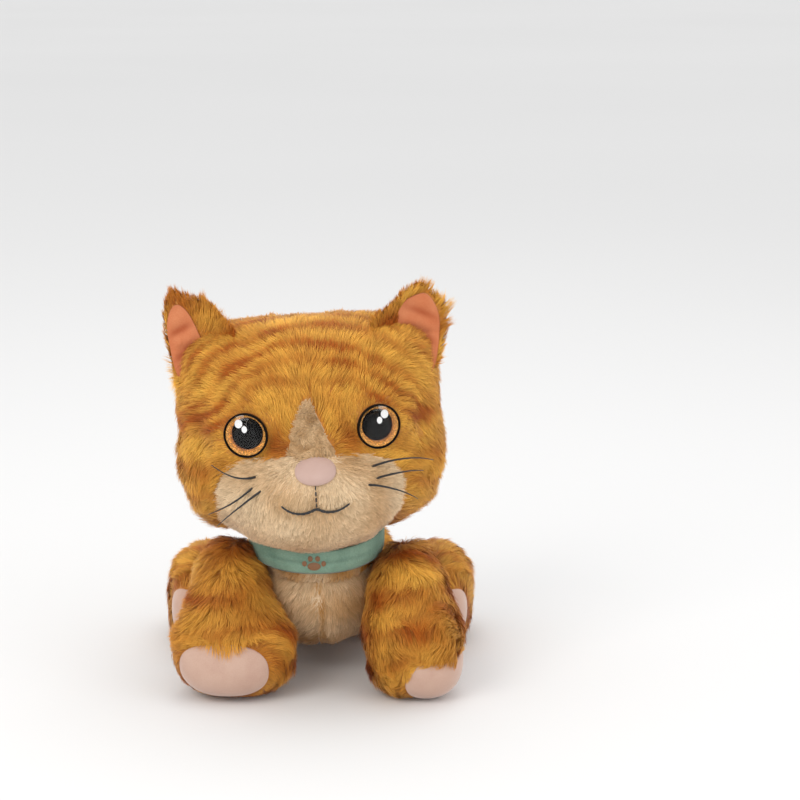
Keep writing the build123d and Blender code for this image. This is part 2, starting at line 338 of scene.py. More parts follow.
def glitter(name):
    """Gold glitter in amber, darkest round the pupil and brightest near the rim, with painted sparkle on its
    brightest flakes.
    """
    look = Look(name)
    ground = look.ramp(look.attribute("radial"), (0.0, srgb(70, 34, 10)), (0.62, srgb(110, 58, 18)),
                       (0.78, srgb(196, 128, 50)), (0.95, srgb(226, 164, 84)), (1.0, srgb(150, 92, 40)))
    flakes = look.node("TexVoronoi", Scale=2600, Vector=look.object_place()).outputs["Color"]
    shine = look.node("SeparateColor", Color=flakes).outputs[0]
    # the flakes differ in colour, and the brightest go past white as painted sparkle
    flakes_and_painted_sparkle = look.ramp(shine, (0.0, (0.55, 0.5, 0.42, 1)), (0.7, grey(1)), (0.9, (2.4, 2.2, 1.8, 1)))
    return look.finish(Base_Color=look.mix(1.0, ground, flakes_and_painted_sparkle), Roughness=0.4, Metallic=0.15)


def clear_plastic(name):
    """Clear moulded plastic, with the faintest ripple in its polish."""
    look = Look(name)
    ripple = look.node("TexNoise", Scale=80).outputs[0]
    return look.finish(Base_Color=grey(1), Roughness=look.ramp(ripple, (0.4, grey(0.015)), (0.6, grey(0.03))),
                       Transmission_Weight=1.0, IOR=1.2)


eye_black = printed("eye_black", 0.005, 0.3)
eye_white = printed("eye_white", 0.93, 0.4)
glitter_amber = glitter("glitter_amber")
eye_clear = clear_plastic("eye_clear")


# ---------------------------------------------------------------- fur
# a strand is one tapering ribbon: two points at its root, two at its bend and one at its tip
STRAND_POINTS = 5
STRAND_TRIANGLES = np.array([[0, 1, 3], [0, 3, 2], [2, 3, 4]])
BEND_AT = 0.55
# how far a strand sags towards the cloth, as a share of its length
DROOP = 0.25
# the lowest that pile and pads reach, so that nothing passes through the floor
FLOOR_GAP = 0.3


def even(value):
    """The same number or direction at every place."""
    return lambda p: np.array([value] * len(p))


def scatter(rng, points, faces, chosen, per_mm2):
    """Places spread evenly over the chosen faces of a mesh, and the smooth normal at each."""
    normals = normals_of(points, faces)
    picked = faces[chosen]
    a, b, c = (points[picked[:, k]] for k in range(3))
    area = np.linalg.norm(np.cross(b - a, c - a), axis=1) / 2
    count = int(area.sum() * per_mm2)
    which = rng.choice(len(picked), count, p=area / area.sum())
    u, v = rng.random((2, count))
    flip = u + v > 1
    u, v = np.where(flip, 1 - u, u), np.where(flip, 1 - v, v)
    weights = np.stack([1 - u - v, u, v], 1)[:, :, None]
    return (points[picked[which]] * weights).sum(1), unit((normals[picked[which]] * weights).sum(1))


def nearest_mark(places, marks):
    """The index of the mark that is nearest to each place."""
    tree = kdtree.KDTree(len(marks))
    for index, mark in enumerate(marks):
        tree.insert(mark, index)
    tree.balance()
    return np.array([tree.find(spot)[1] for spot in places.tolist()])


def grow_fur(name, base, chosen, per_mm2, length, comb, tone, material, body, slot, seed, lift=24, width=0.36,
             clump=4.0, pull=0.24, swirl=0.28, keep=None):
    """Tapering strands over the chosen faces of a base mesh.

    length, comb and tone are functions of the roots, and keep says which roots stay. lift is the angle from
    the cloth, in degrees. clump is the size of the tufts that the tips gather into, in millimetres, and pull
    is how strongly they do. swirl is how far the combing wanders, in radians.
    """
    rng = np.random.default_rng(seed)
    root, normal = scatter(rng, *base, chosen, per_mm2)
    if keep is not None:
        kept = keep(root)
        root, normal = root[kept], normal[kept]
    count = len(root)
    along = comb(root)
    along = unit(along - normal * (along * normal).sum(1, keepdims=True))
    across = np.cross(normal, along)
    wander = waves(root, 22, seed + 1) * swirl + waves(root, 7, seed + 2) * swirl * 0.6
    wander = (wander + rng.normal(0, 0.12, count))[:, None]
    along = along * np.cos(wander) + across * np.sin(wander)
    rise = np.radians(lift + rng.normal(0, 7, count) + 7 * waves(root, 9, seed + 3))[:, None]
    heading = unit(along * np.cos(rise) + normal * np.sin(rise))
    reach = (length(root) * rng.uniform(0.72, 1.12, count))[:, None]

    # tufts: each strand bends towards the line of the nearest tuft's middle
    middles = rng.choice(count, max(1, int(count / (per_mm2 * clump * clump))), replace=False)
    tuft_of = nearest_mark(root, root[middles])
    nearest = middles[tuft_of]
    towards = root[nearest] + heading[nearest] * reach[nearest] * 0.9

    def on_strand(t):
        line = root + heading * reach * t + (along * 0.6 - normal) * reach * DROOP * t * t
        return line + (towards - (root + heading * reach)) * pull * t ** 1.6

    spots = [on_strand(t) for t in (0.0, BEND_AT, 1.0)]
    spin = rng.normal(0, 0.5, count)[:, None]
    side = np.cross(heading, normal)
    side = unit(side * np.cos(spin) + normal * np.sin(spin))
    half = (width / 2 * rng.uniform(0.75, 1.3, count))[:, None]
    rows = [spots[0] - side * half, spots[0] + side * half, spots[1] - side * half * 0.8,
            spots[1] + side * half * 0.8, spots[2]]
    vertices = np.stack(rows, 1).reshape(-1, 3)
    vertices[:, 2] = np.maximum(vertices[:, 2], FLOOR_GAP)
    first = np.arange(count)[:, None, None] * STRAND_POINTS
    triangles = (first + STRAND_TRIANGLES[None]).reshape(-1, 3)
    per_root = {"tone": np.clip(tone(root) + rng.normal(0, 0.05, count), 0, 1),
                "vary": np.clip(0.55 * rng.random(count) + 0.45 * rng.random(len(middles))[tuft_of], 0, 1)}
    attributes = {key: np.repeat(value, STRAND_POINTS) for key, value in per_root.items()}
    attributes["tip"] = np.tile([0.0, 0.0, BEND_AT, BEND_AT, 1.0], count)
    piece = add_piece(name, vertices, triangles, body, slot, [material], attributes=attributes)
    outward = np.repeat(normal * 0.8 + heading * 0.1, STRAND_POINTS, axis=0)
    rounding = np.tile([-0.3, 0.3, -0.3, 0.3, 0.0], count)[:, None]
    shading = unit(outward + np.repeat(side, STRAND_POINTS, axis=0) * rounding)
    layer = piece.data.attributes.new("custom_normal", "FLOAT_VECTOR", "POINT")
    layer.data.foreach_set("vector", shading.astype(np.float32).ravel())
    bake = piece.data.uv_layers.new(name="OFBake")
    bake.data.foreach_set("uv", strand_cells(root, triangles).ravel())


def strand_cells(root, triangles):
    """Texture places: a narrow cell for every strand, with neighbours on the cat close together."""
    count = len(root)
    columns = max(1, int(math.sqrt(count * 4)))
    lines = math.ceil(count / columns)
    low, span = root.min(0), np.ptp(root, axis=0).max() + 1e-6
    grid = ((root - low) / span * 15).astype(int)
    order = np.lexsort((grid[:, 0], grid[:, 1], grid[:, 2]))
    place_of = np.empty(count, int)
    place_of[order] = np.arange(count)
    column, line = place_of % columns, place_of // columns
    across = np.array([0.25, 0.75, 0.3, 0.7, 0.5])
    up = np.array([0.08, 0.08, 0.5, 0.5, 0.92])
    corner = triangles.ravel()
    strand, spot = corner // STRAND_POINTS, corner % STRAND_POINTS
    u = (column[strand] + across[spot]) / columns
    v = (line[strand] + up[spot]) / lines
    return np.stack([u, v], 1).astype(np.float32)


# ---------------------------------------------------------------- padded forms under fur
GROUND = 3.0


def stuff(name, points, faces, body, nodes):
    """The fibre filling: the same form as the cloth, 4 mm further in."""
    inner = points - normals_of(points, faces) * 4.0
    add_piece(name, inner, faces, body, "polyester_stuffing", [stuffing_fibre], nodes, fill=0.9)


def panels(points, faces, body, *each):
    """Cloth panels cut from one form: each is a name, faces, a cloth, a slot and the node it replaces."""
    for name, chosen, cloth, slot, node in each:
        add_piece(name, *part_of(points, faces, chosen), body, slot, [cloth], [node], fill=0.8)


def above_ground(form):
    """The form with its foot cut level just above the floor, where its pile lies flat."""
    return lambda p: np.maximum(form(p), GROUND - p[:, 2])


def lobes(width, *each):
    """Several rounded lobes run together."""
    def form(p):
        whole = lobe(p, *each[0])
        for one in each[1:]:
            whole = merged(whole, lobe(p, *one), width)
        return whole
    return form


def depth_along(form, origin, direction, reach):
    """How far from each origin along a direction the form's surface is, coming from outside at that reach."""
    near, far = np.zeros(len(origin)), np.full(len(origin), float(reach))
    for _ in range(24):
        middle = (near + far) / 2
        inside = form(origin + direction * middle[:, None]) < 0
        near, far = np.where(inside, middle, near), np.where(inside, far, middle)
    return near


def smooth_loop(corners, count):
    """A closed smooth outline near a few corners, as evenly spaced points, anticlockwise."""
    loop = np.array(corners, float)
    following = np.roll(loop, -1, axis=0)
    if (loop[:, 0] * following[:, 1] - loop[:, 1] * following[:, 0]).sum() < 0:
        loop = loop[::-1]
    for _ in range(4):
        following = np.roll(loop, -1, axis=0)
        loop = np.stack([0.75 * loop + 0.25 * following, 0.25 * loop + 0.75 * following], 1).reshape(-1, 2)
    closed = np.vstack([loop, loop[:1]])
    run = np.concatenate([[0], np.cumsum(np.linalg.norm(np.diff(closed, axis=0), axis=1))])
    at = np.linspace(0, run[-1], count, endpoint=False)
    return np.stack([np.interp(at, run, closed[:, k]) for k in (0, 1)], 1)


def oval(half_wide, half_tall, count, power=2.0):
    angle = np.linspace(0, 2 * np.pi, count, endpoint=False)
    c, s = np.cos(angle), np.sin(angle)
    return np.stack([half_wide * np.sign(c) * np.abs(c) ** (2 / power),
                     half_tall * np.sign(s) * np.abs(s) ** (2 / power)], 1)


AT_RIM = 0.999


def pillow(outline, rings):
    """Flat places for a closed form over an outline: front rings out to the rim, then the back's rings.

    Returns the places, how far out each is from 0 to 1, whether it is on the back, and the faces.
    """
    count = len(outline)
    middle = outline.mean(0)
    steps = np.sin(np.linspace(0, 1, rings + 1)[1:] * np.pi / 2)
    disc = [middle[None]] + [middle + r * (outline - middle) for r in steps]
    out = [np.zeros(1)] + [np.full(count, r) for r in steps]
    flat = np.vstack(disc + disc[:-1])
    far = np.concatenate(out + out[:-1])
    back_first = 1 + rings * count
    is_back = np.arange(len(flat)) >= back_first
    k = np.arange(count)
    following = (k + 1) % count
    faces = [(0, int(1 + a), int(1 + b)) for a, b in zip(k, following)]
    faces += [(back_first, int(back_first + 1 + b), int(back_first + 1 + a)) for a, b in zip(k, following)]
    for ring in range(rings - 1):
        low, high = 1 + ring * count, 1 + (ring + 1) * count
        faces += [(int(low + a), int(high + a), int(high + b), int(low + b)) for a, b in zip(k, following)]
        low = back_first + 1 + ring * count
        high = back_first + 1 + (ring + 1) * count if ring < rings - 2 else 1 + (rings - 1) * count
        faces += [(int(low + b), int(high + b), int(high + a), int(low + a)) for a, b in zip(k, following)]
    return flat, far, is_back, faces


def ring_faces(rings, size, flip=False):
    """The faces of a closed body made of rings of points: quads between them and a loop at either end."""
    faces = []
    for low in range(0, (rings - 1) * size, size):
        for a in range(size):
            b = (a + 1) % size
            quad = (low + a, low + b, low + size + b, low + size + a)
            faces.append((quad[0], *quad[:0:-1]) if flip else quad)
    first, last = tuple(range(size)), tuple(range((rings - 1) * size, rings * size))
    return faces + ([first, last[::-1]] if flip else [first[::-1], last])


def tube(path, radii, sides=8):
    """A closed round tube along a path, with its own radius at each point."""
    path = np.array(path, float)
    ahead = unit(np.gradient(path, axis=0))
    upright = abs(ahead[0, 2]) >= 0.8
    reference = np.array([1.0, 0.0, 0.0]) if upright else np.array([0.0, 0.0, 1.0])
    angle = np.linspace(0, 2 * np.pi, sides, endpoint=False)[:, None]
    rows = []
    for centre, direction, radius in zip(path, ahead, radii):
        side = unit(np.cross(direction, reference))
        other = np.cross(side, direction)
        rows.append(centre + radius * (np.cos(angle) * side + np.sin(angle) * other))
    return np.vstack(rows), ring_faces(len(path), sides, flip=True)


def triangles_of(faces):
    return np.array([(loop[0], loop[k], loop[k + 1]) for loop in faces for k in range(1, len(loop) - 1)])


def joined(parts):
    """Several (points, faces) as one mesh."""
    points, faces, first = [], [], 0
    for some, loops in parts:
        points.append(some)
        faces += [tuple(int(v) + first for v in loop) for loop in loops]
        first += len(some)
    return np.vstack(points), faces


def puff(pieces, pressure, cap, frames=20):
    """Fills padded pieces by a short cloth simulation with their rims held, and keeps what it gives.

    No point moves further than the cap, in millimetres.
    """
    for piece in pieces:
        modifier = piece.modifiers.new("puff", "CLOTH")
        settings = modifier.settings
        settings.quality = 6
        settings.use_pressure = True
        settings.uniform_pressure_force = pressure
        settings.effector_weights.gravity = 0
        settings.vertex_group_mass = "rim"
        modifier.collision_settings.use_collision = False
    for number in range(1, frames + 1):
        bpy.context.scene.frame_set(number)
    graph = bpy.context.evaluated_depsgraph_get()
    for piece in pieces:
        settled = piece.evaluated_get(graph).data
        before, after = np.empty(len(settled.vertices) * 3), np.empty(len(settled.vertices) * 3)
        piece.data.vertices.foreach_get("co", before)
        settled.vertices.foreach_get("co", after)
        step = (after - before).reshape(-1, 3)
        size = np.linalg.norm(step, axis=1, keepdims=True)
        step *= np.minimum(1, cap / 1000 / np.maximum(size, 1e-9))
        piece.modifiers.clear()
        piece.data.vertices.foreach_set("co", before + step.ravel())
        piece.data.update()
    bpy.context.scene.frame_set(1)


def hold_rim(piece, held):
    group = piece.vertex_groups.new(name="rim")
    for index in np.flatnonzero(held > 0):
        group.add([int(index)], float(held[index]), "REPLACE")


# ---------------------------------------------------------------- head
HEAD_CENTRE, HEAD_ROLL, HEAD_YAW = np.array([0.0, -15.0, 175.0]), 3.0, 4.5
HEAD = (move(*NECK_PIVOT) @ rotation("Y", -HEAD_ROLL) @ rotation("Z", HEAD_YAW)
        @ move(*(HEAD_CENTRE - NECK_PIVOT)))
TO_HEAD = np.linalg.inv(HEAD)
EYE_SIDE, EYE_HEIGHT, EYE_RADIUS = 43.0, 6.0, 14.6
CORNER_SIDE, CORNER_DEPTH, HEAD_ROUND, EYE_SINK = 26.0, 2.0, 58.0, 2.2
NOSE_HEIGHT = -17.4


def eye_frame(side):
    """From the eye's own frame (x up, z outward) to the head's."""
    sideways = EYE_SIDE - CORNER_SIDE
    depth = math.sqrt(HEAD_ROUND ** 2 - sideways ** 2)
    outward = np.array([side * sideways, -depth, 0]) / HEAD_ROUND
    up = np.array([0.0, 0.0, 1.0])
    matrix = np.eye(4)
    matrix[:3, 0], matrix[:3, 1], matrix[:3, 2] = up, np.cross(outward, up), outward
    matrix[:3, 3] = np.array([side * EYE_SIDE, -CORNER_DEPTH - depth, EYE_HEIGHT]) - outward * EYE_SINK
    return matrix


def head_form(p):
    """The skull, squarer above than below, with cheeks and the muzzle's bulge; in the head's own frame."""
    x, y, z = p.T
    power = 4.2 - 1.6 * smooth(20, -50, z)
    front = (np.abs(x / 84.5) ** power + np.abs(z / np.where(z > 0, 69, 70)) ** power) ** (1 / power)
    skull = ((front ** 2.3 + np.abs(y / 56) ** 2.3) ** (1 / 2.3) - 1) * 60
    cheeks = merged(lobe(p, (36, -8, -28), (44, 44, 38)), lobe(p, (-36, -8, -28), (44, 44, 38)), 12)
    muzzle = lobe(p, (-1, -25, -41), (57, 53, 38), 2.2)
    whole = merged(merged(skull, cheeks, 14), muzzle, 7)
    for side in (1, -1):
        seat = eye_frame(side)
        whole = merged(whole, lobe(p, seat[:3, 3] - 12.0 * seat[:3, 2], (25, 12, 25)), 6)
        whole = whole + 1.2 * hump(np.linalg.norm(p - seat[:3, 3], axis=1), 0, 11)
    brow = hump(x, 0, 13) * hump(z, 6, 24) * (y < 0)
    return whole - 3.0 * brow


def in_muzzle(p):
    x, y, z = p.T
    across = np.abs((x + 4.2) / 58.3)
    rise = z + 40
    top = 30.6 - 0.02 * x - 1.5 * hump(x, 0, 16)
    above = across ** 3.2 + np.abs(rise / top) ** 3.2
    below = across ** 2.3 + np.abs(rise / 42) ** 2.3
    shape = np.where(rise > 0, above, below)
    return (shape < 1) & (y < -14)


def in_bridge(p):
    x, y, z = p.T
    half = 1.8 + 13.0 * np.clip((25 - z) / 33, 0, 1) ** 0.85
    return (np.abs(x + 2.2 + 0.5 * np.sin(z / 6)) < half) & (z < 25) & (z > -14) & (y < -30) & ~in_muzzle(p)


head_points, head_faces = form_mesh(head_form, (0, -8, -4), 6)
head_middles = head_points[head_faces].mean(1)
muzzle_faces = in_muzzle(head_middles)
bridge_faces = in_bridge(head_middles)
skull_faces = ~(muzzle_faces | bridge_faces)
head_world = place(HEAD, head_points)


def face_depth(x, z):
    """The head's y at a side and a height, on its front."""
    origin = np.stack([x, np.zeros_like(x), z], 1)
    return -depth_along(head_form, origin, np.array([0.0, -1.0, 0.0]), 130)


def on_face(flat, height):
    """Points on the front of the head, in the cat's frame, from (x, z) places and how far they stand out."""
    x, z = flat.T
    return place(HEAD, np.stack([x, face_depth(x, z) - height, z], 1))


def eye_distance(local):
    """How far a point lies from the nearer eye's axis."""
    best = np.full(len(local), 1e9)
    for side in (1, -1):
        q = place(np.linalg.inv(eye_frame(side)), local)
        best = np.minimum(best, np.where(np.abs(q[:, 2]) < 25, np.hypot(q[:, 0], q[:, 1]), 1e9))
    return best


def comb_head(p):
    """Away from the top of the nose over the whole head, and down at the sides."""
    local = place(TO_HEAD, p)
    away = unit(local - np.array([0, -66, -8]))
    x, y, z = local.T
    down = smooth(40, 84, np.abs(x)) * 0.9 + smooth(0, 50, y) * 0.8
    out = np.sign(x) * smooth(0, -50, z) * smooth(20, 50, np.abs(x)) * 0.6
    away = away + np.array([0, 0, -1]) * down[:, None] + np.array([1, 0, 0]) * out[:, None]
    for side in (1, -1):
        from_eye = local - eye_frame(side)[:3, 3]
        gap = np.linalg.norm(from_eye, axis=1, keepdims=True)
        away = away + from_eye / gap * 1.2 * np.exp(-((gap / 22) ** 2))
    return turn(HEAD, away)


# each tabby bar over the crown: its angle above the brow, its half-width, both in degrees, and its strength
STRIPES = [(23, 3.2, 0.8), (36, 3.4, 0.95), (50, 3.8, 1.0), (66, 4.2, 0.95), (86, 5.0, 0.9), (108, 6, 0.8),
           (130, 6.5, 0.8), (152, 6.5, 0.7)]


def tone_head(p):
    """Tabby bars that arch over the forehead and run down the back of the head, with painted shade beside the
    nose bridge.
    """
    local = place(TO_HEAD, p)
    x, y, z = local.T
    angle = np.degrees(np.arctan2(z - 13, -(y + 2))) % 360
    angle = np.where(angle > 270, angle - 360, angle)
    bent = angle + 15 * (x / 47) ** 2 + 2.0 * waves(local, 18, 5)
    tone = np.zeros(len(local))
    for number, (middle, width, strength) in enumerate(STRIPES):
        broken = 1 - 0.75 * hump(x, 2, 13) if number == 0 else 1
        ends = 1 - smooth(60, 80, np.abs(x)) * 0.55
        uneven = 0.8 + 0.2 * waves(local, 11, 20 + number)
        tone += strength * hump(bent, middle, width) * broken * ends * uneven
    cheek = smooth(52, 66, np.abs(x)) * (hump(z, -14, 5) + hump(z, -34, 5) + hump(z, 12, 5)) * 0.4
    # painted shade beside the nose bridge at the eyes' inner corners; also darker just above each eye
    brow = hump(np.abs(x), 21, 9) * hump(z, -1, 12) + hump(np.abs(x), 40, 18) * hump(z, 22, 4) * 0.4
    low = smooth(-40, -66, z) * 0.2
    fine = 0.10 * waves(local, 9, 6)
    return np.clip(0.25 + 0.75 * tone + cheek + 0.6 * brow * (y < -20) + low + fine, 0, 1)


def head_length(p):
    local = place(TO_HEAD, p)
    x, y, z = local.T
    seam = 0.55 + 0.45 * smooth(0.0, 16.0, np.hypot(x / 1.6, z + 6))
    low = 1 + 0.9 * smooth(-34, -62, z) + 0.4 * smooth(60, 80, np.abs(x))
    return 9.5 * seam * low * (0.42 + 0.58 * smooth(13, 28, eye_distance(local)))


def head_keep(p):
    """Clear of the eyes and of the place where the neck is sewn in."""
    local = place(TO_HEAD, p)
    return (eye_distance(local) > EYE_RADIUS - 1.0) & (place(TO_NECK, p)[:, 2] > 8)


def comb_muzzle(p):
    local = place(TO_HEAD, p)
    away = local - np.array([0, -62, NOSE_HEIGHT + 2])
    return turn(HEAD, away * np.array([1.0, 0.3, 1.0]) + np.array([0, 0, -6]))


# the mouth's line, from the head's centre: its lowest places and its ends, either side of the middle
MOUTH = [(-23.0, -37.0), (-18.5, -40.6), (-12.0, -42.3), (-6.0, -41.4), (-1.0, -38.9), (3.0, -41.2),
         (7.5, -42.2), (14.0, -41.4), (20.0, -38.2)]
PHILTRUM = [(-0.8, -24.5), (-1.0, -39.0)]


def mouth_gap(local):
    x, z = local[:, 0], local[:, 2]
    lip = np.interp(x, *zip(*MOUTH))
    gap = np.where(np.abs(x + 1.5) < 21.5, np.abs(z - lip), np.hypot(np.abs(x + 1.5) - 21.5, z + 37.6))
    middle = np.where((z < PHILTRUM[0][1]) & (z > -41), np.abs(x + 0.8), 99)
    return np.minimum(gap, middle)


def muzzle_length(p):
    local = place(TO_HEAD, p)
    shy = 0.40 + 0.60 * smooth(0.5, 5, mouth_gap(local))
    near_nose = 0.45 + 0.55 * smooth(12, 22, np.hypot(local[:, 0], (local[:, 2] - NOSE_HEIGHT) * 1.4))
    return 5.6 * shy * near_nose * (1 + 0.3 * smooth(30, 55, np.abs(local[:, 0])))


def muzzle_tone(p):
    local = place(TO_HEAD, p)
    edge = smooth(-62, -76, local[:, 2]) * 0.25
    return np.clip(0.30 + 0.16 * waves(local, 12, 8) + 0.3 * hump(mouth_gap(local), 0, 3) + edge, 0, 1)


panels(head_world, head_faces, "head",
       ("head_cloth", skull_faces, ginger_cloth, "ginger_fur", "head_skin"),
       ("muzzle_cloth", muzzle_faces, cream_cloth, "cream_fur", "muzzle_panel"),
       ("nose_bridge_cloth", bridge_faces, cream_cloth, "cream_plush", "nose_bridge_panel"))
inner_head = form_mesh(lambda p: head_form(place(TO_HEAD, p)), HEAD_CENTRE, 4)
stuff("head_filling", *inner_head, "head", ["head_stuffing"])

face_front = head_middles[:, 1] < -6
left_side = head_middles[:, 0] > 0
for name, chosen, density, seed in (
        ("head_fur_front_left", skull_faces & face_front & left_side, 2.3, 100),
        ("head_fur_front_right", skull_faces & face_front & ~left_side, 2.3, 120),
        ("head_fur_back", skull_faces & ~face_front, 1.5, 140)):
    grow_fur(name, (head_world, head_faces), chosen, density, head_length, comb_head, tone_head, ginger_fur,
             "head", "ginger_fur", seed, keep=head_keep)
grow_fur("muzzle_fur", (head_world, head_faces), muzzle_faces, 4.0, muzzle_length, comb_muzzle, muzzle_tone,
         cream_fur, "head", "cream_fur", 180, lift=20, width=0.32, clump=2.4, swirl=0.14,
         keep=lambda p: eye_distance(place(TO_HEAD, p)) > EYE_RADIUS)
grow_fur("nose_bridge_fur", (head_world, head_faces), bridge_faces, 7.0, even(3.6), even(HEAD[:3, 2]),
         lambda p: 0.45 + 0.25 * waves(p, 4, 9), bridge_fur, "head", "cream_plush", 200, lift=45, width=0.32,
         clump=2.0, swirl=1.4)


# ---------------------------------------------------------------- eyes
def lathe(profile, segments=72):
    """Turns a profile of (radius, height) about the height axis."""
    angle = np.linspace(0, 2 * np.pi, segments, endpoint=False)
    rows = [np.stack([r * np.cos(angle), r * np.sin(angle), np.full(segments, h)], 1) for r, h in profile]
    return np.vstack(rows), ring_faces(len(profile), segments)


def round_patch(centre, half_up, half_side, height, thick, count=40):
    """A flat raised oval in the eye's frame, as points and faces."""
    angle = np.linspace(0, 2 * np.pi, count, endpoint=False)
    rim = np.stack([centre[0] + half_up * np.cos(angle), centre[1] + half_side * np.sin(angle)], 1)
    rings = [np.column_stack([rim, np.full(count, level)]) for level in (height, height + thick)]
    return np.vstack(rings), ring_faces(2, count)


DISC_RADIUS, DISC_THICK, RING_HEIGHT, LENS_RISE = 13.5, 1.2, 2.6, 5.0
PUPIL_RADIUS, STEM_RADIUS, STEM_LENGTH = 10.0, 2.5, 13.0
PUPIL_UP, PUPIL_IN = 1.4, 1.4
RIM_ROUND, PRINT_THICK, LENS_GAP = 0.4, 0.5, 0.25


def build_eye(name, side):
    """A domed eye: the glitter backing with its ribbed stem, black ring, printed pupil and clear dome."""
    seat = HEAD @ eye_frame(side)

    def eye_piece(part, mesh, slot, materials, node, **more):
        points, faces = mesh
        return add_piece(f"eye_{name}_{part}", place(seat, points), faces, "head", slot, materials,
                         [f"eye_{name}_{node}"], **more)

    steps = np.linspace(1, 0.02, 30)
    disc = [(STEM_RADIUS * 0.2, -STEM_LENGTH), (STEM_RADIUS, -STEM_LENGTH + 1)]
    disc += [(STEM_RADIUS * (1.0 if k % 2 else 0.86), -STEM_LENGTH + 2 + k) for k in range(10)]
    disc += [(DISC_RADIUS, 0)] + [(DISC_RADIUS * r, DISC_THICK - 0.5 * (1 - r)) for r in steps]
    backing = lathe(disc)
    radial = np.clip(np.hypot(*backing[0][:, :2].T) / DISC_RADIUS, 0, 1)
    eye_piece("iris", backing, "glitter_amber", [glitter_amber], "backing", attributes={"radial": radial})

    inner, shoulder = DISC_RADIUS + 0.05, RING_HEIGHT - RIM_ROUND
    rim = [(inner, 0), (inner, shoulder), (DISC_RADIUS + 0.35, RING_HEIGHT), (EYE_RADIUS - 0.35, RING_HEIGHT),
           (EYE_RADIUS, shoulder), (EYE_RADIUS, 0)]
    points, faces = lathe(rim + rim[:1])
    eye_piece("ring", (points, faces[:-2]), "eye_black", [eye_black], "outline")

    black = round_patch((PUPIL_UP, side * PUPIL_IN), PUPIL_RADIUS, PUPIL_RADIUS, DISC_THICK - 0.3, PRINT_THICK)
    glints = [round_patch((7.6, -side * 4.0), 2.8, 2.5, DISC_THICK + 0.2, 0.1),
              round_patch((4.0, -side * 0.4), 2.2, 1.7, DISC_THICK + 0.2, 0.1)]
    pupil = eye_piece("pupil_print", joined([black] + glints), "eye_black", [eye_black, eye_white], "pupil",
                      shade_smooth=False)
    for face in pupil.data.polygons:
        face.material_index = int(min(face.vertices) >= len(black[0]))

    sphere = (DISC_RADIUS ** 2 + LENS_RISE ** 2) / (2 * LENS_RISE)
    bottom = DISC_THICK + LENS_GAP
    reach = math.asin(DISC_RADIUS / sphere)
    dome = [(0.02, bottom), (DISC_RADIUS, bottom)]
    dome += [(sphere * math.sin(reach * r), bottom + LENS_RISE - sphere * (1 - math.cos(reach * r)))
             for r in steps]
    lens = eye_piece("dome", lathe(dome), "eye_clear", [eye_clear], "lens")
    lens.visible_shadow = False


build_eye("left", 1)
build_eye("right", -1)

# ---------------------------------------------------------------- nose, mouth and whiskers
flat, far, is_back, faces = pillow(oval(13.2, 7.7, 96, 2.1), 20)
crown = 1.2 + 3.6 * np.sqrt(np.clip(1 - far ** 2, 0, 1))
laid = 0.05 * np.abs(np.sin(flat[:, 0] * 4.4 + flat[:, 1] * 0.5)) * (1 - far ** 6)
height = np.where(is_back, -0.6 * (1 - far) - 0.2, crown + laid)
height = np.where(far > AT_RIM, 0.6, height)
add_piece("nose_pad", on_face(flat + np.array([0.0, NOSE_HEIGHT]), height), faces, "head", "nose_satin",
          [nose_satin], ["nose"], fill=0.9)


def stitches(line, long, radius, height, overlap=0.35):
    """Thread stitches end to end along a line on the face, thickest in mid-line and sunk at their ends."""
    line = np.array(line, float)
    run = np.concatenate([[0], np.cumsum(np.linalg.norm(np.diff(line, axis=0), axis=1))])
    count = max(1, round(run[-1] / long))
    edges = np.linspace(0, run[-1], count + 1)
    parts = []
    for start, stop in zip(edges[:-1], edges[1:]):
        share = (start + stop) / 2 / run[-1]
        at = np.linspace(start - overlap, stop + overlap, 9)
        flat_line = np.stack([np.interp(at, run, line[:, k]) for k in (0, 1)], 1)
        bulge = np.sin(np.linspace(0.12, math.pi - 0.12, 9)) ** 0.6
        thickness = radius * (0.45 + 0.55 * bulge) * (0.62 + 0.38 * math.sin(share * math.pi))
        parts.append(tube(on_face(flat_line, height - 0.7 + 0.9 * bulge), thickness))
    return parts


def curve_through(corners, count=60):
    """A smooth line near a few corners, from the first to the last of them."""
    line = np.array(corners, float)
    for _ in range(3):
        low, high = 0.75 * line[:-1] + 0.25 * line[1:], 0.25 * line[:-1] + 0.75 * line[1:]
        line = np.vstack([line[:1], np.stack([low, high], 1).reshape(-1, 2), line[-1:]])
    at = np.linspace(0, len(line) - 1, count)
    return np.stack([np.interp(at, np.arange(len(line)), line[:, k]) for k in (0, 1)], 1)


mouth = stitches(curve_through(MOUTH), long=3.2, radius=1.0, height=2.3)
mouth += stitches(PHILTRUM, long=3.6, radius=0.6, height=2.0, overlap=-0.5)
add_piece("mouth_stitches", *joined(mouth), "head", "black_thread", [black_thread], ["mouth_stitching"])

# each whisker, from the head's centre: the side and height of its root and of its tip, and how far it bows up
WHISKERS = {
    "left": [((35, -20.5), (77, -20), 5.0), ((38, -27.5), (70, -26), 3.2), ((32, -29.5), (65, -43), 4.0)],
    "right": [((-36, -20.5), (-66, -13), -3.0), ((-38, -25.5), (-70, -45), -0.5),
              ((-34, -28), (-65, -52), 2.5)],
}
WHISKER_RADIUS, WHISKER_REACH, WHISKER_SWEEP = 0.8, 7.0, 14.0


